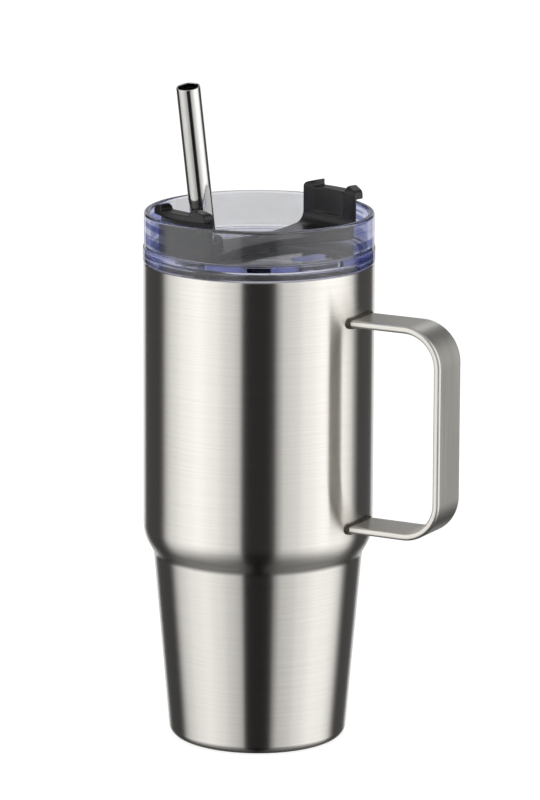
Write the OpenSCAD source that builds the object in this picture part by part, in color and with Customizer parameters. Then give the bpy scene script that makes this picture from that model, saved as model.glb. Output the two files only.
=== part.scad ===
// Double-wall steel travel tumbler with a strap handle, a clear press-in lid,
// a black dial with two hooked tabs, and a polished steel drinking straw.
// Frame: +Z up, origin at the centre of the base, handle towards +X. Millimetres.

/* [Tumbler] */
// Outside diameter of the straight upper body
body_d = 92.4; // [91:0.2:94]
// Height of the steel rim above the table
rim_h = 195.5; // [185:0.5:210]
// Outside diameter at the foot, before its corner is rounded
base_d = 71; // [68:0.5:74]
// Height at which the narrow lower body meets the shoulder
waist_h = 76.6; // [70:0.2:80]
// Height of the shoulder slope
shoulder_rise = 7.3; // [6:0.1:10]
// Outside diameter where the lower body meets the shoulder
waist_d = 84.2; // [82:0.2:86]
// Wall of the outer shell
shell_t = 0.8; // [0.6:0.1:1]
// Wall of the inner liner
liner_t = 0.7; // [0.6:0.1:0.9]
// Inside diameter of the liner's mouth
mouth_d = 86.4; // [86:0.1:87]

/* [Handle] */
// Reach of the handle from the body's axis
handle_reach = 86; // [80:0.5:95]
// Width of the strap
strap_w = 19; // [15:0.5:24]
// Thickness of the strap
strap_t = 3; // [2.5:0.1:3.6]
// Height of the strap's upper face
handle_top = 177.2; // [170:0.2:182]
// Height of the strap's lower face
handle_bottom = 90.5; // [90:0.5:110]
// Outer bend radius of the strap
strap_bend = 16.2; // [12:0.2:20]

/* [Lid] */
// Height of the clear wall above the rim
lid_rise = 20.1; // [18:0.1:22]
// Height of the lid's floor above the rim
floor_rise = 5.5; // [5:0.1:6.5]
// Thickness of the clear wall
lid_wall = 2.5; // [2:0.1:2.6]
// Depth of the plug below the rim
plug_depth = 12; // [10:0.5:16]

/* [Dial] */
// Direction of the tab furthest from the straw, from the handle
dial_angle = 70.5; // [60:0.5:80]
// How far the dial turns, clockwise from above
dial_turn = 90; // [60:5:90]
// Half width of the tabs
tab_half = 15.2; // [14:0.1:16]
// Distance from the axis to the flat inner face of a tab
tab_face = 37.4; // [36.5:0.1:38]
// Half width of the bar at the axis
bar_half = 7.5; // [6.5:0.1:8.5]

/* [Straw] */
// Outside diameter of the straw
straw_d = 9.5; // [9:0.1:9.6]
// Bore of the straw
straw_bore = 8.2; // [7.8:0.1:8.2]
// Lean of the straw from upright
straw_lean = 12; // [11:0.5:12.5]
// Distance from the axis to the straw's hole, at the top of the bar
straw_hole_r = 28.5; // [28:0.1:29]
// Length of straw above the bar
straw_above = 67.8; // [40:0.2:100]

/* [Hidden] */
$fn = 96;
ring_fn = 120;
disc_fn = 180;
sweep_fn = 360;
straw_fn = 64;
arc_steps = 8;
flat_angle = 89.5;
least_bend = 0.1;
eps = 0.02;
fit = 0.05;
gap = 0.3;
past = 1;

// Body
body_r = body_d / 2;
mouth_r = mouth_d / 2;
lip_h = 1.2;
shell_top = rim_h - lip_h;
shoulder_h = waist_h + shoulder_rise;
hem_r = 29.2;
hem_h = 3;
hem_bend = 1;
foot_bend = 4;
waist_bend = 5;
shoulder_bend = 16;
base_t = 0.8;
cover_t = 0.8;
cover_z = 1;
base_z = cover_z + cover_t;
cover_fit = 0.2;
cover_taper = 0.3;
cover_bend = 0.4;
port_r = 1.2;
port_z = base_z + 1.1;
dimple_r = 5;
dimple_slope = 1;
seal_r = 3;
seal_t = 0.6;
getter_x = 16;
getter_r = 5;
getter_h = 1.8;
liner_floor = 10;
liner_crown = 1;
crown_top_r = 8;
crown_foot_r = 23.3;
crown_bend = 30;
liner_foot_r = 32.3;
liner_foot_bend = 8;
liner_waist_r = 38;
liner_waist_h = waist_h - 0.7;
liner_waist_bend = 9;
liner_shoulder_h = shoulder_h - 0.4;
liner_shoulder_bend = 12;
lip_bend_in = 0.8;
lip_bend_out = 0.9;

// Handle
strap_edge = 1.2;
arm_root = 6;
bead = 0.7;
bead_reach = 1.1;
bead_run = 16;

// Lid
floor_z = rim_h + floor_rise;
floor_t = 2.6;
floor_bend = 1.5;
lid_top = rim_h + lid_rise;
lid_r = body_r - 0.2;
flange_r = body_r + 0.2;
flange_top = floor_z + 0.2;
flange_z = rim_h + 0.1;
flange_bend = 0.7;
edge_bend = 0.15;
plug_r = mouth_r - 0.8;
plug_wall = 2.2;
plug_z = rim_h - plug_depth;
plug_bend = 0.8;
root_bend = 0.5;
groove_z = plug_z + 3.7;
groove_h = 4;
groove_depth = 1.2;
gasket_z = groove_z + 0.1;
gasket_top = groove_z + groove_h - 0.1;
ridge_ramp = 0.6;
ridge_land = 0.5;
ridge_h = 1.6;
ridge_bend = 0.2;
ridge_r = mouth_r - gap;

// Dial
bar_z = floor_z + gap;
bar_t = 2.9;
bar_top = bar_z + bar_t;
bar_end_r = 41.6;
bar_tip_r = bar_end_r - 0.2;
hook_r = 44.9;
hook_z = lid_top + 1.7;
tab_top = lid_top + 4.1;
ear_in = 9.2;
ear_top = lid_top + 6.6;
ear_drop = 1.7;
ear_round = 3.2;
crown_round = 1.2;
tab_fillet = 5;
fillet_clear = 0.4;
recess = 0.8;
recess_r = 50;
stud_r = 4.9;
clip_r = 7.5;
clip_t = 0.9;
clip_z = floor_z - floor_t - gap - clip_t;
clip_mouth = 5.6;
neck_r = 3.5;
head_r = 4.3;
head_h = 1;
ring_t = 0.9;
ring_h = 1.2;
ring_z = floor_z - (floor_t + ring_h) / 2;
waist_end = tab_face - tab_fillet - fillet_clear;
waist_arc = (pow(waist_end, 2) + pow(tab_half - bar_half, 2)) / (2 * (tab_half - bar_half));

// Straw and its hole
straw_r = straw_d / 2;
hole_x = -straw_hole_r * cos(dial_angle);
hole_y = -straw_hole_r * sin(dial_angle);
bore_fit = 0.08;
grommet_r = 5.9;
flange_grommet_r = 7.3;
grommet_flange_t = 1.3;
boss_h = 1.9;
boss_root = 10;
seat_root = 8;
seat_h = 4;
sleeve_root = 12;
straw_lip = 0.2;
slot_half = 6;
slot_y = hole_y + (bar_top - floor_z + floor_t / 2) * tan(straw_lean);
slot_r = norm([hole_x, slot_y]);
slot_angle = 180 + atan2(-slot_y, -hole_x);
straw_foot = -(bar_top - liner_floor - liner_crown - gap - straw_r * sin(straw_lean)) / cos(straw_lean);

// Sip opening and the pad that closes it
sip_angle = dial_angle - 90;
sip_r = 31;
sip_half = 4.8;
sip_spread = 8.5;
pad_t = 1.2;
pad_margin = 1.5;

// Small helpers in the plane: the unit vector at an angle, a vector's direction, the direction to its
// left, where a corner is, and which way one direction turns to another
function ray(a) = [cos(a), sin(a)];
function unit(v) = v / norm(v);
function side(d) = [-d[1], d[0]];
function at(p) = [p[0], p[1]];
function turn(d, e) = d[0] * e[1] - d[1] * e[0];

// Points of the rounded corner at b, between a and c
function corner(a, b, c, r) =
    let (u = unit(a - b), v = unit(c - b), half = acos(max(-1, min(1, u * v))) / 2)
    (is_undef(r) || r <= 0 || half > flat_angle) ? [b] :
    let (centre = b + unit(u + v) * r / sin(half),
        from = b + u * r / tan(half) - centre,
        to = b + v * r / tan(half) - centre,
        start = atan2(from[1], from[0]),
        sweep = (atan2(to[1], to[0]) - start + 540) % 360 - 180)
    [for (i = [0:arc_steps]) centre + r * ray(start + sweep * i / arc_steps)];

// A closed outline of [x, y, radius] corners, with its corners rounded
function rounded(path) =
    let (n = len(path))
    [for (i = [0:n - 1])
        each corner(at(path[(i + n - 1) % n]), at(path[i]), at(path[(i + 1) % n]), path[i][2])];

// An open path of [x, y, radius] corners, moved sideways to its left by t
function shifted(path, t) =
    let (n = len(path))
    [for (i = [0:n - 1])
        let (d = unit(at(path[i == 0 ? 1 : i]) - at(path[i == 0 ? 0 : i - 1])),
            e = unit(at(path[i == n - 1 ? n - 1 : i + 1]) - at(path[i == n - 1 ? n - 2 : i])),
            move = (side(d) + side(e)) / (1 + side(d) * side(e)) * t,
            bend = turn(d, e) > 0 ? path[i][2] - t : path[i][2] + t)
        [path[i][0] + move[0], path[i][1] + move[1], path[i][2] == 0 ? 0 : max(least_bend, bend)]];

// The same path from its other end
function reversed(path) = [for (i = [len(path) - 1:-1:0]) path[i]];

// Solid of revolution of a [radius, height, corner radius] outline
module revolve(path) rotate_extrude($fn = ring_fn) polygon(rounded(path));

// A flat arc-shaped slot with round ends, about the origin
module arc_slot(r, half, from, to) {
    middle = (from + to) / 2;
    far = 4 * r;
    intersection() {
        difference() {
            circle(r + half);
            circle(r - half);
        }
        polygon([[0, 0], far * ray(from), far * ray(middle), far * ray(to)]);
    }
    for (a = [from, to])
        translate(r * ray(a)) circle(half);
}

// The frame of the straw: z along it, zero at the top of the bar
module along_straw() translate([hole_x, hole_y, bar_top]) rotate([straw_lean, 0, 0]) children();

// The frame of the dial: x along the bar
module in_dial_frame() rotate([0, 0, dial_angle]) children();

shell_path = [
    [hem_r, hem_h, 0],
    [hem_r, 0, hem_bend],
    [base_d / 2, 0, foot_bend],
    [waist_d / 2, waist_h, waist_bend],
    [body_r, shoulder_h, shoulder_bend],
    [body_r, shell_top, 0]];

module outer_shell() color("silver")
    revolve(concat(shell_path, reversed(shifted(shell_path, shell_t))));

liner_path = [
    [0, liner_floor + liner_crown, 0],
    [crown_top_r, liner_floor + liner_crown, crown_bend],
    [crown_foot_r, liner_floor, crown_bend],
    [liner_foot_r, liner_floor, liner_foot_bend],
    [liner_waist_r, liner_waist_h, liner_waist_bend],
    [mouth_r, liner_shoulder_h, liner_shoulder_bend],
    [mouth_r, shell_top, 0]];

module inner_liner() color("lightgray") revolve(concat(
    liner_path,
    [[mouth_r, rim_h, lip_bend_in], [body_r, rim_h, lip_bend_out], [body_r, shell_top, 0]],
    reversed(shifted(liner_path, -liner_t))));

module outer_base() color("silver") revolve([
    [port_r, port_z, 0],
    [dimple_r - dimple_slope, port_z, dimple_slope],
    [dimple_r, base_z, dimple_slope],
    [hem_r, base_z, 0],
    [hem_r, base_z + base_t, 0],
    [dimple_r + dimple_slope / 2, base_z + base_t, dimple_slope],
    [dimple_r - dimple_slope / 2, port_z + base_t, dimple_slope],
    [port_r, port_z + base_t, 0]]);

module base_cover() color("silver") revolve([
    [0, cover_z, 0],
    [hem_r - cover_fit - cover_taper, cover_z, cover_bend],
    [hem_r - cover_fit, cover_z + cover_t, 0],
    [0, cover_z + cover_t, 0]]);

// Heat-fired pellet that keeps the vacuum, stuck to the base inside the wall gap
module getter_pellet() color("dimgray")
    translate([getter_x, 0, base_z + base_t]) cylinder(h = getter_h, r = getter_r);

// Bead that closes the port through which the wall gap is emptied
module vacuum_seal() color("gray") {
    translate([0, 0, port_z - seal_t]) cylinder(h = seal_t, r = seal_r);
    translate([0, 0, port_z]) cylinder(h = base_t, r = port_r);
}

// Section of the strap: thickness along x, width along y
function strap_section(grow) =
    let (x = strap_t / 2 + grow, y = strap_w / 2 + grow, r = strap_edge + grow)
    rounded([[-x, -y, r], [x, -y, r], [x, y, r], [-x, y, r]]);

// One arm: a straight run from inside the body to the bend, at the height of its middle
module strap_arm(z, length, grow)
    translate([body_r - arm_root, 0, z]) rotate([0, 90, 0])
        linear_extrude(length) polygon(strap_section(grow));

// One bend, about a centre at height z; flip turns it to the lower one
module strap_bend_at(z, flip) {
    middle_r = strap_bend - strap_t / 2;
    translate([handle_reach - strap_bend, 0, z]) rotate([flip ? -90 : 90, 0, 0])
        rotate_extrude(angle = 90) translate([middle_r, 0]) polygon(strap_section(0));
}

module handle_strap() color("silver") {
    arm = handle_reach - strap_bend - body_r + arm_root;
    difference() {
        union() {
            strap_arm(handle_top - strap_t / 2, arm, 0);
            strap_arm(handle_bottom + strap_t / 2, arm, 0);
        }
        cylinder(h = 2 * rim_h, r = body_r);
    }
    strap_bend_at(handle_top - strap_bend, false);
    strap_bend_at(handle_bottom + strap_bend, true);
    translate([handle_reach - strap_t / 2, 0, handle_bottom + strap_bend])
        linear_extrude(handle_top - handle_bottom - 2 * strap_bend) polygon(strap_section(0));
}

// Thin bead of weld round the foot of one arm
module weld(z) color("gray") difference() {
    intersection() {
        strap_arm(z, bead_run, bead);
        cylinder(h = 2 * rim_h, r = body_r + bead_reach);
    }
    cylinder(h = 2 * rim_h, r = body_r);
    strap_arm(z, bead_run, 0);
}

module upper_weld() weld(handle_top - strap_t / 2);

module lower_weld() weld(handle_bottom + strap_t / 2);

lid_path = [
    [0, floor_z, 0],
    [lid_r - lid_wall, floor_z, floor_bend],
    [lid_r - lid_wall, lid_top, lid_wall / 2 - eps],
    [lid_r, lid_top, lid_wall / 2 - eps],
    [lid_r, flange_top, edge_bend],
    [flange_r, flange_top, edge_bend],
    [flange_r, flange_z, flange_bend],
    [plug_r, flange_z, root_bend],
    [plug_r, groove_z + groove_h, 0],
    [plug_r - groove_depth, groove_z + groove_h, 0],
    [plug_r - groove_depth, groove_z, 0],
    [plug_r, groove_z, 0],
    [plug_r, plug_z, plug_bend],
    [plug_r - plug_wall, plug_z, plug_bend],
    [plug_r - plug_wall, floor_z - floor_t, floor_bend],
    [0, floor_z - floor_t, 0]];

module lid_body() color("lightblue", 0.4) difference() {
    revolve(lid_path);
    translate([0, 0, floor_z - floor_t - past]) {
        linear_extrude(floor_t + 2 * past) {
            arc_slot(slot_r, slot_half, slot_angle - dial_turn, slot_angle);
            arc_slot(sip_r, sip_half, sip_angle - sip_spread, sip_angle + sip_spread);
        }
        cylinder(h = floor_t + 2 * past, r = stud_r + fit);
    }
}

// One ridge of the ring, from its foot at height z
function ridge(z) = [
    [plug_r, z, ridge_bend],
    [ridge_r, z + ridge_ramp, ridge_bend],
    [ridge_r, z + ridge_ramp + ridge_land, ridge_bend],
    [plug_r, z + ridge_h, ridge_bend]];

// Soft ring in the plug's groove, with two ridges towards the liner
module lid_gasket() color("whitesmoke") revolve(concat(
    [[plug_r - groove_depth, gasket_z, 0]],
    ridge(gasket_z),
    ridge(gasket_top - ridge_h),
    [[plug_r - groove_depth, gasket_top, 0]]));

// Waisted bar, seen from above
module bar_outline() difference() {
    intersection() {
        circle(bar_tip_r);
        square([2 * bar_end_r, 2 * tab_half], center = true);
    }
    for (s = [-1, 1])
        translate([0, s * (bar_half + waist_arc)]) circle(waist_arc, $fn = sweep_fn);
}

// Side profile of a tab up to a given height, with a fillet at its foot
function tab_profile(top, round) = [
    [tab_face - tab_fillet, bar_top - past, 0],
    [tab_face - tab_fillet, bar_top + eps, 0],
    [tab_face, bar_top + eps, tab_fillet - eps],
    [tab_face, top, round],
    [hook_r + past, top, 0],
    [hook_r + past, bar_top - past, 0]];

// A side profile run across the bar from y0 to y1
module across(y0, y1, profile)
    translate([0, y1, 0]) rotate([90, 0, 0]) linear_extrude(y1 - y0) polygon(rounded(profile));

// Pad under the bar that covers the sip opening when the dial is closed
module pad_outline() {
    x = sip_half + pad_margin;
    y = sip_r * sin(sip_spread) + x;
    r = x - eps;
    translate([sip_r, 0]) polygon(rounded([[-x, -y, r], [x, -y, r], [x, y, r], [-x, y, r]]));
}

// Upright plate, hook over the rim, and the two raised ears
module tab() difference() {
    intersection() {
        union() {
            across(-ear_in, ear_in, tab_profile(tab_top, crown_round));
            across(-tab_half, -ear_in, tab_profile(ear_top, ear_round));
            across(ear_in, tab_half, tab_profile(ear_top, ear_round));
        }
        union() {
            cylinder(h = hook_z, r = bar_end_r, $fn = disc_fn);
            translate([0, 0, hook_z]) cylinder(h = lid_rise, r = hook_r, $fn = disc_fn);
        }
    }
    for (s = [-1, 1])
        translate([0, s * ear_in, ear_top]) rotate([-s * atan(ear_drop / (tab_half - ear_in)), 0, 0])
            translate([0, s > 0 ? 0 : -2 * tab_half, 0]) cube([hook_r + past, 2 * tab_half, lid_rise]);
    translate([tab_face - recess_r + recess, 0, bar_top + tab_fillet + fillet_clear])
        cylinder(h = 2 * lid_rise, r = recess_r, $fn = sweep_fn);
}

// Boss that carries the grommet square to the straw
module straw_boss() intersection() {
    along_straw() translate([0, 0, -boss_root]) cylinder(h = boss_root + boss_h, r = flange_grommet_r);
    translate([0, 0, bar_z]) cylinder(h = lid_rise, r = body_r);
}

module dial_bar() color("#1a1a1a") difference() {
    union() {
        in_dial_frame() {
            translate([0, 0, bar_z]) linear_extrude(bar_t) bar_outline();
            tab();
            rotate([0, 0, 180]) tab();
        }
        straw_boss();
        translate([0, 0, clip_z + clip_t]) cylinder(h = bar_z - clip_z - clip_t + eps, r = stud_r);
        translate([0, 0, clip_z - eps]) cylinder(h = clip_t + 2 * eps, r = neck_r);
        translate([0, 0, clip_z - head_h]) cylinder(h = head_h, r = head_r);
    }
    along_straw() {
        translate([0, 0, -seat_root]) cylinder(h = seat_root + boss_h + past, r = grommet_r);
        translate([0, 0, boss_h]) cylinder(h = seat_h, r = flange_grommet_r + eps);
    }
    translate([0, 0, ring_z]) difference() {
        cylinder(h = ring_h, r = stud_r + past);
        translate([0, 0, -past]) cylinder(h = ring_h + 2 * past, r = stud_r - ring_t);
    }
    in_dial_frame() translate([0, 0, bar_z - past]) linear_extrude(past + pad_t) pad_outline();
}

// Split ring that holds the dial down from under the lid's floor
module pivot_clip() color("silver") translate([0, 0, clip_z]) difference() {
    cylinder(h = clip_t, r = clip_r);
    translate([0, 0, -past]) cylinder(h = clip_t + 2 * past, r = neck_r);
    translate([0, -clip_mouth / 2, -past]) cube([clip_r + past, clip_mouth, clip_t + 2 * past]);
}

// Ring in the stud's groove, which seals the pivot
module pivot_seal() color("#2b2b2b") translate([0, 0, ring_z]) difference() {
    cylinder(h = ring_h, r = stud_r);
    translate([0, 0, -past]) cylinder(h = ring_h + 2 * past, r = stud_r - ring_t);
}

// Soft ring that grips the straw, trimmed level with the underside of the bar
module straw_grommet() color("#222222") difference() {
    along_straw() {
        translate([0, 0, boss_h]) cylinder(h = grommet_flange_t, r = flange_grommet_r);
        translate([0, 0, -sleeve_root]) cylinder(h = sleeve_root + boss_h + eps, r = grommet_r);
    }
    along_straw() cylinder(h = 3 * sleeve_root, r = straw_r + bore_fit, center = true);
    translate([0, 0, bar_z - body_r]) cylinder(h = body_r, r = body_r);
}

module sip_seal() color("#2b2b2b") in_dial_frame()
    translate([0, 0, bar_z]) linear_extrude(pad_t) pad_outline();

module straw() color("gainsboro") along_straw() rotate_extrude($fn = straw_fn) polygon(rounded([
    [straw_bore / 2, straw_foot, straw_lip],
    [straw_r, straw_foot, straw_lip],
    [straw_r, straw_above, straw_lip],
    [straw_bore / 2, straw_above, straw_lip]]));

outer_shell();
inner_liner();
outer_base();
base_cover();
getter_pellet();
vacuum_seal();
handle_strap();
upper_weld();
lower_weld();
lid_body();
lid_gasket();
dial_bar();
pivot_clip();
pivot_seal();
straw_grommet();
sip_seal();
straw();
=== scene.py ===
"""Looks for a steel travel tumbler: brushed body and strap, clear lid, black dial, polished straw."""

import math

import bmesh
import bpy
from mathutils import Matrix, Vector


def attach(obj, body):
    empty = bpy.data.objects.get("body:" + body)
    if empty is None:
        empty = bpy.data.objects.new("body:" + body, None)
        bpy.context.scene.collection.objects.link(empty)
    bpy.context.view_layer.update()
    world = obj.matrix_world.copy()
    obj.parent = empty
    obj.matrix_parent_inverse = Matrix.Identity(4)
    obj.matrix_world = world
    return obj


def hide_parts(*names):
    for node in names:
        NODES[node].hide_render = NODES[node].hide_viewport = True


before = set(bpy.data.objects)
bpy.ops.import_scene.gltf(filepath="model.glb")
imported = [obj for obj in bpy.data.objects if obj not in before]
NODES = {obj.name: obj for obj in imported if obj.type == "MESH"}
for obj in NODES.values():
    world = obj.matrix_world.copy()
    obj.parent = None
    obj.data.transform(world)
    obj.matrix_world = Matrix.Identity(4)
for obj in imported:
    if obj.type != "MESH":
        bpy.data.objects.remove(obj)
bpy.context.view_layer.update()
MM = 0.001

# Steel body, in millimetres as the CAD has it
BODY_R = 46.2
RIM_H = 195.5
LIP_H = 1.2
SHELL_TOP = RIM_H - LIP_H
WAIST_H = 76.6
SHOULDER_H = WAIST_H + 7.3
WAIST_R = 42.1
FOOT_R = 35.5
HEM_R = 29.2
HEM_H = 3
SHELL_T = 0.8
LINER_T = 0.7
MOUTH_R = 43.2
LINER_WAIST_R = 38
LINER_FOOT_R = 32.3
LINER_FLOOR = 10
LINER_DOME = 11

# Strap
STRAP_W = 19
STRAP_T = 3
STRAP_REACH = 86
STRAP_TOP = 177.2
STRAP_FOOT = 90.5
STRAP_BEND = 16.2
STRAP_EDGE = 1.2
STRAP_ROOT = BODY_R - 1.3

# Clear lid
FLOOR_Z = 201.0
FLOOR_T = 2.6
FLOOR_UNDER = FLOOR_Z - FLOOR_T
LID_TOP = 215.6
LID_R = 46.0
LID_WALL = 2.5
LID_ROUND = LID_WALL / 2 - 0.02
FLANGE_R = 46.4
FLANGE_TOP = FLOOR_Z + 0.2
FLANGE_FOOT = RIM_H + 0.1
PLUG_R = 42.4
PLUG_Z = 183.5
PLUG_T = 2.2
GROOVE_Z = PLUG_Z + 3.7
GROOVE_H = 4
GROOVE_DEPTH = 1.2
CREASE = 0.15
STUD_HOLE_R = 4.95
SIP_R = 31
SIP_HALF = 4.8
SIP_SPREAD = 8.5
SLOT_HALF = 6

# Dial and straw
BAR_TOP = 204.2
DIAL_ANGLE = 70.5
DIAL_TURN = 90
SIP_ANGLE = DIAL_ANGLE - DIAL_TURN
EAR_TOP = LID_TOP + 6.6
EAR_SHOULDER = EAR_TOP - 1.7
EAR_HALF = 15.2
EAR_FLAT_HALF = 9.2
EAR_CUT_FOOT = 190
EAR_CUT_REACH = 60
DIAL_GRID = 0.25
DIAL_SMOOTHING = 6
HOLE_R = 28.5
STRAW_LEAN = math.radians(12)
STRAW_R = 4.75
STRAW_BORE_R = 4.1
STRAW_ABOVE = 67.8
STRAW_BELOW = 196.2

# The camera looks from here, in degrees round from -Y and up, at a point given in metres
VIEW_TURN = math.radians(28.5)
VIEW_RISE = math.radians(12.63)
VIEW_ROLL = math.radians(0.249)
VIEW_DISTANCE = 2.146
VIEW_ASIDE = 0.004595
VIEW_HEIGHT = 0.13815
LENS = 240.4


# ---------------------------------------------------------------- outlines


def ray(degrees):
    return Vector((math.cos(math.radians(degrees)), math.sin(math.radians(degrees))))


def corner(a, b, c, radius, fineness=5.0):
    """Points of the rounded corner at b, one every few degrees."""
    u, v = (a - b).normalized(), (c - b).normalized()
    half = math.acos(max(-1.0, min(1.0, u.dot(v)))) / 2
    if radius <= 0 or half > math.radians(89.5):
        return [b]
    centre = b + (u + v).normalized() * radius / math.sin(half)
    first = b + u * radius / math.tan(half) - centre
    last = b + v * radius / math.tan(half) - centre
    start = math.atan2(first.y, first.x)
    sweep = (math.atan2(last.y, last.x) - start + 3 * math.pi) % (2 * math.pi) - math.pi
    steps = max(3, math.ceil(abs(math.degrees(sweep)) / fineness))
    return [
        centre + radius * Vector((math.cos(start + sweep * i / steps), math.sin(start + sweep * i / steps)))
        for i in range(steps + 1)
    ]


def rounded(path, fineness=5.0):
    """A closed outline of (x, y, radius) corners, with its corners rounded."""
    points = [Vector(p[:2]) for p in path]
    out = []
    for i, p in enumerate(path):
        out += corner(points[i - 1], points[i], points[(i + 1) % len(path)], p[2], fineness)
    return out


def shifted(path, t):
    """An open path of corners, moved sideways to its left by t."""
    out = []
    for i, p in enumerate(path):
        before = Vector(path[max(i - 1, 0)][:2])
        here = Vector(p[:2])
        after = Vector(path[min(i + 1, len(path) - 1)][:2])
        d = (here - before).normalized() if i else (after - here).normalized()
        e = (after - here).normalized() if i < len(path) - 1 else d
        n1, n2 = Vector((-d.y, d.x)), Vector((-e.y, e.x))
        move = (n1 + n2) / (1 + n1.dot(n2)) * t
        turn = d.x * e.y - d.y * e.x
        radius = 0 if p[2] == 0 else max(0.1, p[2] - t if turn > 0 else p[2] + t)
        out.append((here.x + move.x, here.y + move.y, radius))
    return out


def arc_slot(r, half, start, end):
    """Outline of an arc-shaped slot with round ends, angles in degrees."""
    out = [(r + half) * ray(start + (end - start) * i / 32) for i in range(33)]
    out += [r * ray(end) + half * ray(end + 180 * i / 16) for i in range(1, 16)]
    out += [(r - half) * ray(end + (start - end) * i / 32) for i in range(33)]
    out += [r * ray(start) + half * ray(start + 180 + 180 * i / 16) for i in range(1, 16)]
    return out


# ---------------------------------------------------------------- meshes


def finish_mesh(bm, name, sharp=38):
    """A shown object from a bmesh in millimetres, smooth but for its sharp edges."""
    bmesh.ops.recalc_face_normals(bm, faces=bm.faces)
    bm.transform(Matrix.Diagonal((MM, MM, MM, 1)))
    mesh = bpy.data.meshes.new(name)
    bm.to_mesh(mesh)
    bm.free()
    obj = bpy.data.objects.new(name, mesh)
    bpy.context.scene.collection.objects.link(obj)
    soften(obj, sharp)
    return obj


def soften(obj, sharp=38):
    """Smooth shading with sharp edges kept and flat faces left flat."""
    obj.data.polygons.foreach_set("use_smooth", [True] * len(obj.data.polygons))
    obj.data.set_sharp_from_angle(angle=math.radians(sharp))
    weights = obj.modifiers.new("Weights", "WEIGHTED_NORMAL")
    weights.keep_sharp = True
    weights.weight = 100


def lathe(name, outline, segments=192, axis=None):
    """A solid of revolution of (radius, height) points."""
    bm = bmesh.new()
    rings = []
    for p in outline:
        if p[0] < 1e-6:
            rings.append([bm.verts.new((0, 0, p[1]))])
        else:
            rings.append(
                [
                    bm.verts.new((p[0] * ray(360 * k / segments).x, p[0] * ray(360 * k / segments).y, p[1]))
                    for k in range(segments)
                ]
            )
    for i, a in enumerate(rings):
        b = rings[(i + 1) % len(rings)]
        if len(a) == 1 and len(b) == 1:
            continue
        for k in range(segments):
            n = (k + 1) % segments
            loop = [a[k % len(a)], a[n % len(a)], b[n % len(b)], b[k % len(b)]]
            bm.faces.new(list(dict.fromkeys(loop)))
    if axis is not None:
        bm.transform(axis)
    return finish_mesh(bm, name)


def prism(name, outline, low, high):
    """An upright prism of an outline."""
    bm = bmesh.new()
    foot = [bm.verts.new((p.x, p.y, low)) for p in outline]
    head = [bm.verts.new((p.x, p.y, high)) for p in outline]
    bm.faces.new(foot)
    bm.faces.new(head)
    for i in range(len(outline)):
        j = (i + 1) % len(outline)
        bm.faces.new((foot[i], foot[j], head[j], head[i]))
    return finish_mesh(bm, name)


def apply_modifiers(obj):
    bpy.context.view_layer.update()
    depsgraph = bpy.context.evaluated_depsgraph_get()
    mesh = bpy.data.meshes.new_from_object(obj.evaluated_get(depsgraph))
    obj.modifiers.clear()
    obj.data = mesh


def cut(obj, *cutters):
    """Takes the cutters out of obj."""
    obj.modifiers.clear()
    for c in cutters:
        c.modifiers.clear()
        step = obj.modifiers.new("Cut", "BOOLEAN")
        step.operation = "DIFFERENCE"
        step.solver = "EXACT"
        step.object = c
    apply_modifiers(obj)
    for c in cutters:
        bpy.data.objects.remove(c)


# ---------------------------------------------------------------- materials


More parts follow.
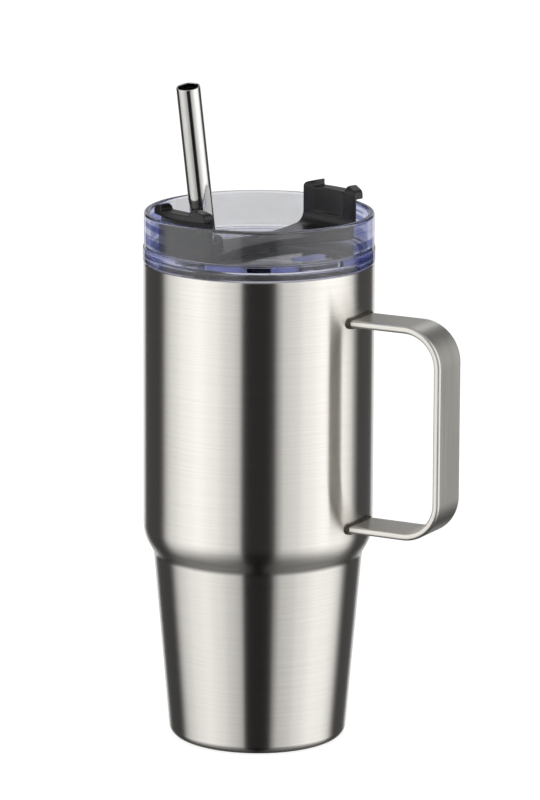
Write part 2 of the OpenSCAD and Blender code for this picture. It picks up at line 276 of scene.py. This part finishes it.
class Look:
    """A material's node tree, built up in a few words."""

    def __init__(self, name):
        self.material = bpy.data.materials.new(name)
        self.material.use_nodes = True
        self.tree = self.material.node_tree
        self.shader = self.tree.nodes["Principled BSDF"]
        self.output = self.tree.nodes["Material Output"]

    def set(self, **values):
        for key, value in values.items():
            self.shader.inputs[key.replace("_", " ")].default_value = value
        return self

    def add(self, kind, **settings):
        node = self.tree.nodes.new(kind)
        for key, value in settings.items():
            setattr(node, key, value)
        return node

    def link(self, source, target):
        self.tree.links.new(source, target)

    def stretched(self, scale, stretch, detail=3.0, roughness=0.6):
        """Noise in the object's own space, stretched by a scale per axis."""
        place = self.add("ShaderNodeTexCoord")
        mapping = self.add("ShaderNodeMapping")
        mapping.inputs["Scale"].default_value = stretch
        noise = self.add("ShaderNodeTexNoise")
        noise.inputs["Scale"].default_value = scale
        noise.inputs["Detail"].default_value = detail
        noise.inputs["Roughness"].default_value = roughness
        self.link(place.outputs["Object"], mapping.inputs["Vector"])
        self.link(mapping.outputs["Vector"], noise.inputs["Vector"])
        return noise.outputs["Fac"]

    def ranged(self, value, low, high):
        ranger = self.add("ShaderNodeMapRange")
        ranger.inputs["From Min"].default_value = 0.3
        ranger.inputs["From Max"].default_value = 0.7
        ranger.inputs["To Min"].default_value = low
        ranger.inputs["To Max"].default_value = high
        self.link(value, ranger.inputs["Value"])
        return ranger.outputs["Result"]

    def tinted(self, value, dark, light):
        ramp = self.add("ShaderNodeValToRGB")
        ramp.color_ramp.elements[0].position = 0.3
        ramp.color_ramp.elements[1].position = 0.7
        ramp.color_ramp.elements[0].color = (*dark, 1)
        ramp.color_ramp.elements[1].color = (*light, 1)
        self.link(value, ramp.inputs["Fac"])
        return ramp.outputs["Color"]

    def painted_wall_shading(self, colour, deep, pale):
        """Painted shade and painted bent light: nearly white on level faces, the darker colour on upright
        walls, and painted level streaks from dark blue to pale where those walls are seen edge-on.
        """
        facing = self.add("ShaderNodeLayerWeight")
        facing.inputs["Blend"].default_value = 0.5
        edge = self.add("ShaderNodeMapRange", interpolation_type="SMOOTHSTEP")
        edge.inputs["From Min"].default_value = 0.36
        edge.inputs["From Max"].default_value = 0.52
        self.link(facing.outputs["Facing"], edge.inputs["Value"])
        normal = self.add("ShaderNodeNewGeometry")
        split = self.add("ShaderNodeSeparateXYZ")
        self.link(normal.outputs["Normal"], split.inputs[0])
        slope = self.add("ShaderNodeMath", operation="ABSOLUTE")
        self.link(split.outputs[2], slope.inputs[0])
        upright = self.add("ShaderNodeMapRange")
        upright.inputs["From Min"].default_value = 0.5
        upright.inputs["From Max"].default_value = 0.2
        self.link(slope.outputs[0], upright.inputs["Value"])
        share = self.add("ShaderNodeMath", operation="MULTIPLY")
        self.link(edge.outputs[0], share.inputs[0])
        self.link(upright.outputs[0], share.inputs[1])
        # Painted streaks, dark blue to pale, standing in for the bent light and dark seen along the walls'
        # edges
        streaks = self.ranged(self.stretched(1.0, (9, 9, 330), 3.0), -0.9, 1.9)
        streaks = self.tinted(streaks, deep, pale)
        # Painted shade: upright walls take the darker colour and level faces stay nearly white
        wall = self.add("ShaderNodeMix", data_type="RGBA")
        self.link(upright.outputs[0], wall.inputs[0])
        wall.inputs[6].default_value = (0.93, 0.93, 0.94, 1)
        self.link(colour, wall.inputs[7])
        mix = self.add("ShaderNodeMix", data_type="RGBA")
        self.link(share.outputs[0], mix.inputs[0])
        self.link(wall.outputs[2], mix.inputs[6])
        self.link(streaks, mix.inputs[7])
        return mix.outputs[2]

    def to(self, value, socket):
        self.link(value, self.shader.inputs[socket])
        return self

    def bump(self, value, strength, distance):
        node = self.add("ShaderNodeBump")
        node.inputs["Strength"].default_value = strength
        node.inputs["Distance"].default_value = distance
        self.link(value, node.inputs["Height"])
        self.link(node.outputs["Normal"], self.shader.inputs["Normal"])
        return self


def brushed_round():
    """Steel brushed round the axis: fine level lines, reflections drawn out up and down."""
    look = Look("brushed_steel_round")
    look.set(Metallic=1.0, Anisotropic=1.0, Anisotropic_Rotation=0.25)
    fine = look.stretched(1.0, (30, 30, 7000), 2.0)
    broad = look.stretched(1.0, (26, 26, 1500), 3.0)
    both = look.add("ShaderNodeMix")
    both.inputs["Factor"].default_value = 0.5
    look.link(fine, both.inputs["A"])
    look.link(broad, both.inputs["B"])
    mixed = both.outputs["Result"]
    look.to(look.tinted(broad, (0.73, 0.705, 0.665), (0.79, 0.765, 0.724)), "Base Color")
    look.to(look.ranged(mixed, 0.21, 0.26), "Roughness")
    tangent = look.add("ShaderNodeTangent", direction_type="RADIAL", axis="Z")
    look.to(tangent.outputs["Tangent"], "Tangent")
    look.bump(fine, 0.17, 0.00002)
    return look.material


def brushed_along():
    """Steel strap brushed along its run, from the grain direction stored on its mesh."""
    look = Look("brushed_steel_along")
    look.set(Metallic=1.0, Anisotropic=0.6)
    fine = look.stretched(1.0, (40, 4200, 40), 2.0)
    broad = look.stretched(1.0, (14, 620, 14), 4.0)
    both = look.add("ShaderNodeMix")
    both.inputs["Factor"].default_value = 0.5
    look.link(fine, both.inputs["A"])
    look.link(broad, both.inputs["B"])
    mixed = both.outputs["Result"]
    look.to(look.tinted(mixed, (0.64, 0.62, 0.575), (0.79, 0.77, 0.725)), "Base Color")
    look.to(look.ranged(mixed, 0.31, 0.41), "Roughness")
    grain = look.add("ShaderNodeAttribute", attribute_name="grain")
    normal = look.add("ShaderNodeNewGeometry")
    cross = look.add("ShaderNodeVectorMath", operation="CROSS_PRODUCT")
    look.link(normal.outputs["Normal"], cross.inputs[0])
    look.link(grain.outputs["Vector"], cross.inputs[1])
    look.to(cross.outputs["Vector"], "Tangent")
    look.bump(fine, 0.2, 0.00002)
    return look.material


def steel(name, dark, light, low, high, stretch, bump=0.1, depth=0.00001):
    """Steel with a noise over its colour and its roughness, from low to high."""
    look = Look(name)
    look.set(Metallic=1.0)
    noise = look.stretched(1.0, stretch, 4.0)
    look.to(look.tinted(noise, dark, light), "Base Color")
    look.to(look.ranged(noise, low, high), "Roughness")
    look.bump(noise, bump, depth)
    return look.material


def clear_plastic(name, tint, low, high, ior, glow, density, edge=None):
    """Clear moulded plastic: faint flow ripples, a cool glow that builds up with depth, and, when edge is
    given, painted shade on upright walls with painted streaks of bent light and dark at their edges.
    """
    look = Look(name)
    look.set(Transmission_Weight=1.0, IOR=ior)
    noise = look.stretched(1.0, (90, 90, 160), 2.0)
    flat = look.tinted(noise, tint, tuple(min(1, v + 0.03) for v in tint))
    if edge:
        # Painted shade on upright walls and painted streaks of bent light and dark at their edges
        flat = look.painted_wall_shading(flat, *edge)
    look.to(flat, "Base Color")
    look.to(look.ranged(noise, low, high), "Roughness")
    look.bump(noise, 0.04, 0.0001)
    depth = look.add("ShaderNodeVolumeAbsorption")
    depth.inputs["Color"].default_value = (*glow, 1)
    depth.inputs["Density"].default_value = density
    look.link(depth.outputs["Volume"], look.output.inputs["Volume"])
    return look.material


def moulded(name, dark, light, low, high, grain=2600, bump=0.12, depth=0.00004, shine=0.5):
    """Moulded plastic or rubber with a very fine even grain."""
    look = Look(name)
    look.set(Specular_IOR_Level=shine)
    fine = look.stretched(grain, (1, 1, 1), 2.0)
    broad = look.stretched(60, (1, 1, 1), 2.0)
    look.to(look.tinted(broad, dark, light), "Base Color")
    look.to(look.ranged(broad, low, high), "Roughness")
    look.bump(fine, bump, depth)
    return look.material


BRUSHED = brushed_round()
STRAP = brushed_along()
POLISHED = steel(
    "polished_steel", (0.68, 0.67, 0.65), (0.76, 0.75, 0.73), 0.07, 0.13, (900, 900, 12), bump=0.06
)
WELD = steel(
    "weld_steel",
    (0.05, 0.046, 0.042),
    (0.2, 0.18, 0.16),
    0.4,
    0.55,
    (900, 900, 900),
    bump=0.5,
    depth=0.0001,
)
CLEAR = clear_plastic(
    "clear_plastic",
    (0.64, 0.64, 0.645),
    0.0,
    0.02,
    1.58,
    (0.58, 0.61, 0.82),
    48.0,
    # Colours of the painted dark-blue and pale streaks at the walls' edges
    edge=((0.08, 0.1, 0.34), (0.6, 0.64, 0.9)),
)
SILICONE = clear_plastic("clear_silicone", (0.93, 0.95, 0.97), 0.25, 0.35, 1.41, (0.86, 0.9, 0.95), 60.0)
BLACK = moulded(
    "black_plastic",
    (0.008, 0.008, 0.008),
    (0.012, 0.012, 0.012),
    0.26,
    0.33,
    bump=0.04,
    depth=0.00002,
    shine=0.42,
)
RUBBER = moulded("black_silicone", (0.012, 0.012, 0.013), (0.022, 0.022, 0.023), 0.45, 0.58, grain=1800)
GETTER = moulded("getter_pellet", (0.06, 0.06, 0.06), (0.14, 0.13, 0.12), 0.6, 0.8, grain=900, bump=0.4)


def dress(obj, material, slot, body, *nodes):
    """Gives a new piece its material and its body, and hides the CAD nodes it stands for; its slot is not
    used.
    """
    obj.data.materials.clear()
    obj.data.materials.append(material)
    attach(obj, body)
    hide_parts(*nodes)
    return obj


def paint(node, material):
    """Gives a CAD node that stays a better material."""
    obj = NODES[node]
    for s in obj.material_slots:
        s.link = "OBJECT"
        s.material = material


# ---------------------------------------------------------------- steel body

shell_path = [
    (HEM_R, HEM_H, 0),
    (HEM_R, 0, 1),
    (FOOT_R, 0, 4),
    (WAIST_R, WAIST_H, 5),
    (BODY_R, SHOULDER_H, 16),
    (BODY_R, SHELL_TOP, 0),
]
shell = lathe("outer_wall", rounded(shell_path + shifted(shell_path, SHELL_T)[::-1]), 256)
dress(shell, BRUSHED, "brushed_steel", "tumbler", "outer_shell")

liner_path = [
    (0, LINER_DOME, 0),
    (8, LINER_DOME, 30),
    (23.3, LINER_FLOOR, 30),
    (LINER_FOOT_R, LINER_FLOOR, 8),
    (LINER_WAIST_R, WAIST_H - 0.7, 9),
    (MOUTH_R, SHOULDER_H - 0.4, 12),
    (MOUTH_R, SHELL_TOP, 0),
]
liner_outline = liner_path + [(MOUTH_R, RIM_H, 0.8), (BODY_R, RIM_H, 0.9), (BODY_R, SHELL_TOP, 0)]
liner = lathe("inner_wall", rounded(liner_outline + shifted(liner_path, -LINER_T)[::-1]), 256)
dress(liner, BRUSHED, "liner_steel", "tumbler", "inner_liner")

paint("outer_base", BRUSHED)
paint("base_cover", BRUSHED)
paint("getter_pellet", GETTER)
paint("vacuum_seal", WELD)
paint("upper_weld", WELD)
paint("lower_weld", WELD)


# ---------------------------------------------------------------- strap


def strap_piece():
    """The strap, swept along its middle line, with its grain direction stored on each point."""
    half = STRAP_T / 2
    reach, top, foot, bend = STRAP_REACH - half, STRAP_TOP - half, STRAP_FOOT + half, STRAP_BEND - half
    middle = [(STRAP_ROOT, top, 0), (reach, top, bend), (reach, foot, bend), (STRAP_ROOT, foot, 0)]
    line = [Vector(middle[0][:2])]
    for i in (1, 2):
        a, b, c = (Vector(middle[i + k][:2]) for k in (-1, 0, 1))
        line += corner(a, b, c, middle[i][2], 2.5)
    line.append(Vector(middle[3][:2]))
    x, y, r = half, STRAP_W / 2, STRAP_EDGE
    section = rounded([(-x, -y, r), (x, -y, r), (x, y, r), (-x, y, r)], 9)
    bm = bmesh.new()
    rings, grains = [], []
    for i, p in enumerate(line):
        before = line[max(i - 1, 0)]
        after = line[min(i + 1, len(line) - 1)]
        d = (after - before).normalized()
        if 0 < i < len(line) - 1:
            d = ((after - p).normalized() + (p - before).normalized()).normalized()
        out = Vector((-d.y, d.x))
        rings.append([bm.verts.new((p.x + out.x * s.x, s.y, p.y + out.y * s.x)) for s in section])
        grains += [(d.x, 0.0, d.y)] * len(section)
    for a, b in zip(rings, rings[1:]):
        for k in range(len(section)):
            n = (k + 1) % len(section)
            bm.faces.new((a[k], a[n], b[n], b[k]))
    bm.faces.new(rings[0])
    bm.faces.new(rings[-1])
    strap = finish_mesh(bm, "strap")
    grain = strap.data.attributes.new("grain", "FLOAT_VECTOR", "POINT")
    grain.data.foreach_set("vector", [v for g in grains for v in g])
    return strap


dress(strap_piece(), STRAP, "brushed_steel", "tumbler", "handle_strap")

# ---------------------------------------------------------------- clear lid

lid_outline = [
    (0, FLOOR_Z, 0),
    (LID_R - LID_WALL, FLOOR_Z, 1.5),
    (LID_R - LID_WALL, LID_TOP, LID_ROUND),
    (LID_R, LID_TOP, LID_ROUND),
    (LID_R, FLANGE_TOP, CREASE),
    (FLANGE_R, FLANGE_TOP, CREASE),
    (FLANGE_R, FLANGE_FOOT, 0.7),
    (PLUG_R, FLANGE_FOOT, 0.5),
    (PLUG_R, GROOVE_Z + GROOVE_H, CREASE),
    (PLUG_R - GROOVE_DEPTH, GROOVE_Z + GROOVE_H, CREASE),
    (PLUG_R - GROOVE_DEPTH, GROOVE_Z, CREASE),
    (PLUG_R, GROOVE_Z, CREASE),
    (PLUG_R, PLUG_Z, 0.8),
    (PLUG_R - PLUG_T, PLUG_Z, 0.8),
    (PLUG_R - PLUG_T, FLOOR_UNDER, 1.5),
    (0, FLOOR_UNDER, 0),
]
hole_x = -HOLE_R * ray(DIAL_ANGLE).x
hole_y = -HOLE_R * ray(DIAL_ANGLE).y
slot_y = hole_y + (BAR_TOP - FLOOR_Z + FLOOR_T / 2) * math.tan(STRAW_LEAN)
slot_r = math.hypot(hole_x, slot_y)
slot_angle = 180 + math.degrees(math.atan2(-slot_y, -hole_x))
lid = lathe("clear_lid", rounded(lid_outline, 10), 192)
low, high = FLOOR_UNDER - 1, FLOOR_Z + 1
cut(
    lid,
    prism("cut_slot", arc_slot(slot_r, SLOT_HALF, slot_angle - DIAL_TURN, slot_angle), low, high),
    prism("cut_sip", arc_slot(SIP_R, SIP_HALF, SIP_ANGLE - SIP_SPREAD, SIP_ANGLE + SIP_SPREAD), low, high),
    prism("cut_stud", [STUD_HOLE_R * ray(360 * i / 64) for i in range(64)], low, high),
)
soften(lid)
dress(lid, CLEAR, "clear_plastic", "lid", "lid_body")

g, out = GROOVE_Z, MOUTH_R - 0.3
gasket_outline = [
    (PLUG_R - GROOVE_DEPTH, g + 0.1, 0),
    (PLUG_R, g + 0.1, 0.2),
    (out, g + 0.7, 0.2),
    (out, g + 1.2, 0.2),
    (PLUG_R, g + 1.7, 0.2),
    (PLUG_R, g + 2.3, 0.2),
    (out, g + 2.9, 0.2),
    (out, g + 3.4, 0.2),
    (PLUG_R, g + 3.9, 0.2),
    (PLUG_R - GROOVE_DEPTH, g + 3.9, 0),
]
dress(lathe("lid_ring", rounded(gasket_outline, 12)), SILICONE, "clear_silicone", "lid", "lid_gasket")

# ---------------------------------------------------------------- black dial


def ear_outline():
    """The dial seen along its bar: its ears fall away and round over at their outer ends."""
    right = [(EAR_HALF, EAR_CUT_FOOT, 0), (EAR_HALF, EAR_SHOULDER, 2.2), (EAR_FLAT_HALF, EAR_TOP, 2)]
    left = [(-x, y, r) for x, y, r in right[::-1]]
    return rounded(left[-1:] + right + left[:-1], 9)


def softened_copy(name, node, turn):
    """A copy of the dial's CAD solid, trimmed to its ears, remade on a grid square to it and smoothed."""
    mesh = NODES[node].data.copy()
    mesh.materials.clear()
    obj = bpy.data.objects.new(name, mesh)
    bpy.context.scene.collection.objects.link(obj)
    bm = bmesh.new()
    bm.from_mesh(mesh)
    bmesh.ops.remove_doubles(bm, verts=bm.verts, dist=1e-6)
    bm.transform(Matrix.Rotation(-turn, 4, "Z"))
    bm.to_mesh(mesh)
    bm.free()
    bm = bmesh.new()
    ends = [[bm.verts.new((x, p.x, p.y)) for p in ear_outline()] for x in (-EAR_CUT_REACH, EAR_CUT_REACH)]
    bm.faces.new(ends[0])
    bm.faces.new(ends[1])
    for i in range(len(ends[0])):
        j = (i + 1) % len(ends[0])
        bm.faces.new((ends[0][i], ends[0][j], ends[1][j], ends[1][i]))
    keep = finish_mesh(bm, "keep")
    keep.modifiers.clear()
    trim = obj.modifiers.new("Trim", "BOOLEAN")
    trim.operation = "INTERSECT"
    trim.solver = "EXACT"
    trim.object = keep
    grid = obj.modifiers.new("Grid", "REMESH")
    grid.mode = "VOXEL"
    grid.voxel_size = DIAL_GRID * MM
    round_off = obj.modifiers.new("Round", "SMOOTH")
    round_off.factor = 0.5
    round_off.iterations = DIAL_SMOOTHING
    apply_modifiers(obj)
    bpy.data.objects.remove(keep)
    obj.data.transform(Matrix.Rotation(turn, 4, "Z"))
    obj.data.polygons.foreach_set("use_smooth", [True] * len(obj.data.polygons))
    return obj


dial = softened_copy("dial", "dial_bar", math.radians(DIAL_ANGLE))
dress(dial, BLACK, "black_plastic", "dial", "dial_bar")
paint("pivot_clip", POLISHED)
paint("pivot_seal", RUBBER)
paint("sip_seal", RUBBER)

straw_axis = Matrix.Translation((hole_x, hole_y, BAR_TOP)) @ Matrix.Rotation(STRAW_LEAN, 4, "X")
bore, neck, collar = STRAW_R + 0.08, 5.9, 7.3
foot, seat, head = -2.2, 1.9, 3.2
grommet_outline = [
    (bore, foot, 0.1),
    (neck, foot, 0.1),
    (neck, seat, 0.1),
    (collar, seat, 0.3),
    (collar, head, 0.45),
    (bore, head, 0.35),
]
grommet = lathe("grommet", rounded(grommet_outline, 12), 96, straw_axis)
dress(grommet, RUBBER, "black_silicone", "dial", "straw_grommet")

straw_outline = [
    (STRAW_BORE_R, -STRAW_BELOW, 0.2),
    (STRAW_R, -STRAW_BELOW, 0.2),
    (STRAW_R, STRAW_ABOVE, 0.25),
    (STRAW_BORE_R, STRAW_ABOVE, 0.25),
]
straw = lathe("straw_tube", rounded(straw_outline, 15), 96, straw_axis)
dress(straw, POLISHED, "polished_steel", "straw", "straw")

# ---------------------------------------------------------------- floor, light and camera


def floor_piece():
    """A pale disc just under the tumbler, lit so that it fades into the white round it."""
    radius, drop = 9000, -0.05
    bm = bmesh.new()
    ring = [bm.verts.new((radius * ray(6 * k).x, radius * ray(6 * k).y, drop)) for k in range(60)]
    bm.faces.new(ring)
    floor = finish_mesh(bm, "floor")
    look = Look("pale_floor")
    look.set(Roughness=0.9, Emission_Color=(1, 1, 1, 1), Emission_Strength=0.76)
    noise = look.stretched(3.0, (1, 1, 1), 2.0)
    look.to(look.tinted(noise, (0.55, 0.55, 0.55), (0.56, 0.56, 0.56)), "Base Color")
    floor.data.materials.append(look.material)
    floor.visible_glossy = False
    floor.visible_transmission = False


floor_piece()

# The ramp holds colours up to 1, so the levels are divided by the peak and raised by a gain, less far below
STUDIO_PEAK = 1.5
LEVEL_GAIN, LOW_GAIN = 1.55, 0.15

# Brightness of the studio by the angle round from the camera, to its right
STUDIO = [
    (-180, 0.3),
    (-161, 0.9),
    (-155, 0.07),
    (-118, 0.06),
    (-112, 0.12),
    (-106, 0.6),
    (-101, 0.85),
    (-93, 1.0),
    (-80, 1.24),
    (-62, 1.4),
    (-46, 1.24),
    (-30, 0.95),
    (-19.5, 0.76),
    (-15, 0.05),
    (-9, 0.025),
    (0, 0.025),
    (9, 0.025),
    (15, 0.06),
    (20.5, 0.52),
    (26, 0.86),
    (38, 0.97),
    (50, 1.2),
    (71, 1.45),
    (90, 1.37),
    (97, 1.22),
    (105, 1.0),
    (112, 0.35),
    (118, 0.07),
    (154, 0.08),
    (161, 0.85),
    (180, 0.3),
]


def studio():
    """Upright bands of light and dark all round, greyer overhead, dark below, and white to the camera."""
    world = bpy.data.worlds.new("studio")
    bpy.context.scene.world = world
    world.use_nodes = True
    tree = world.node_tree
    nodes, links = tree.nodes, tree.links
    nodes.clear()

    def math_node(operation, a, b=None):
        node = nodes.new("ShaderNodeMath")
        node.operation = operation
        for i, value in enumerate((a, b)):
            if value is None:
                continue
            if isinstance(value, (int, float)):
                node.inputs[i].default_value = value
            else:
                links.new(value, node.inputs[i])
        return node.outputs[0]

    def mixed(factor, a, b):
        node = nodes.new("ShaderNodeMix")
        node.data_type = "RGBA"
        for socket, value in ((0, factor), (6, a), (7, b)):
            if isinstance(value, bpy.types.NodeSocket):
                links.new(value, node.inputs[socket])
            else:
                node.inputs[socket].default_value = value
        return node.outputs[2]

    place = nodes.new("ShaderNodeTexCoord").outputs["Generated"]
    split = nodes.new("ShaderNodeSeparateXYZ")
    links.new(place, split.inputs[0])
    x, y, z = split.outputs
    c, s = math.cos(VIEW_TURN), math.sin(VIEW_TURN)
    across = math_node("ADD", math_node("MULTIPLY", x, c), math_node("MULTIPLY", y, s))
    towards = math_node("SUBTRACT", math_node("MULTIPLY", x, s), math_node("MULTIPLY", y, c))
    angle = math_node("ARCTAN2", across, towards)
    share = math_node("MULTIPLY_ADD", angle, 1 / (2 * math.pi))
    share.node.inputs[2].default_value = 0.5
    ramp = nodes.new("ShaderNodeValToRGB")
    links.new(share, ramp.inputs["Fac"])
    ramp.color_ramp.interpolation = "EASE"
    stops = ramp.color_ramp.elements
    while len(stops) < len(STUDIO):
        stops.new(0.5)
    for stop, (degrees, level) in zip(stops, STUDIO):
        stop.position = (degrees + 180) / 360
        grey = level / STUDIO_PEAK
        stop.color = (grey, grey, grey, 1)
    around = nodes.new("ShaderNodeVectorMath")
    around.operation = "SCALE"
    links.new(ramp.outputs["Color"], around.inputs[0])
    upward = nodes.new("ShaderNodeMapRange")
    upward.interpolation_type = "SMOOTHSTEP"
    upward.inputs["From Min"].default_value = 0.55
    upward.inputs["From Max"].default_value = 0.9
    links.new(z, upward.inputs["Value"])
    downward = nodes.new("ShaderNodeMapRange")
    downward.interpolation_type = "SMOOTHSTEP"
    downward.inputs["From Min"].default_value = -0.28
    downward.inputs["From Max"].default_value = -0.8
    downward.inputs["To Min"].default_value = LEVEL_GAIN
    downward.inputs["To Max"].default_value = LOW_GAIN
    links.new(z, downward.inputs["Value"])
    links.new(downward.outputs[0], around.inputs["Scale"])
    lit = mixed(upward.outputs[0], around.outputs[0], (0.4, 0.4, 0.41, 1))
    path = nodes.new("ShaderNodeLightPath")
    through = mixed(0.9, lit, (1.1, 1.1, 1.1, 1))
    seen = mixed(path.outputs["Is Transmission Ray"], lit, through)
    seen = mixed(path.outputs["Is Camera Ray"], seen, (1, 1, 1, 1))
    light = nodes.new("ShaderNodeBackground")
    links.new(seen, light.inputs["Color"])
    output = nodes.new("ShaderNodeOutputWorld")
    links.new(light.outputs[0], output.inputs[0])


def camera():
    """The photograph's view, towards a point near the tumbler's axis at its middle height."""
    c, s = math.cos(VIEW_TURN), math.sin(VIEW_TURN)
    right = Vector((c, s, 0))
    ahead = Vector((-s * math.cos(VIEW_RISE), c * math.cos(VIEW_RISE), -math.sin(VIEW_RISE)))
    up = right.cross(ahead)
    side = right * math.cos(VIEW_ROLL) + up * math.sin(VIEW_ROLL)
    head = up * math.cos(VIEW_ROLL) - right * math.sin(VIEW_ROLL)
    place = right * VIEW_ASIDE + Vector((0, 0, VIEW_HEIGHT)) - ahead * VIEW_DISTANCE
    data = bpy.data.cameras.new("camera")
    data.sensor_width = 36
    data.lens = LENS
    data.clip_end = 50
    obj = bpy.data.objects.new("camera", data)
    bpy.context.scene.collection.objects.link(obj)
    turn = Matrix((side, head, -ahead)).transposed().to_4x4()
    obj.matrix_world = Matrix.Translation(place) @ turn
    bpy.context.scene.camera = obj


studio()
camera()
bpy.context.scene.view_settings.view_transform = "Standard"

# Light turns back many times inside the clear lid's rim and flange
cycles = bpy.context.scene.cycles
cycles.max_bounces = 32
cycles.glossy_bounces = 16
cycles.transmission_bounces = 32
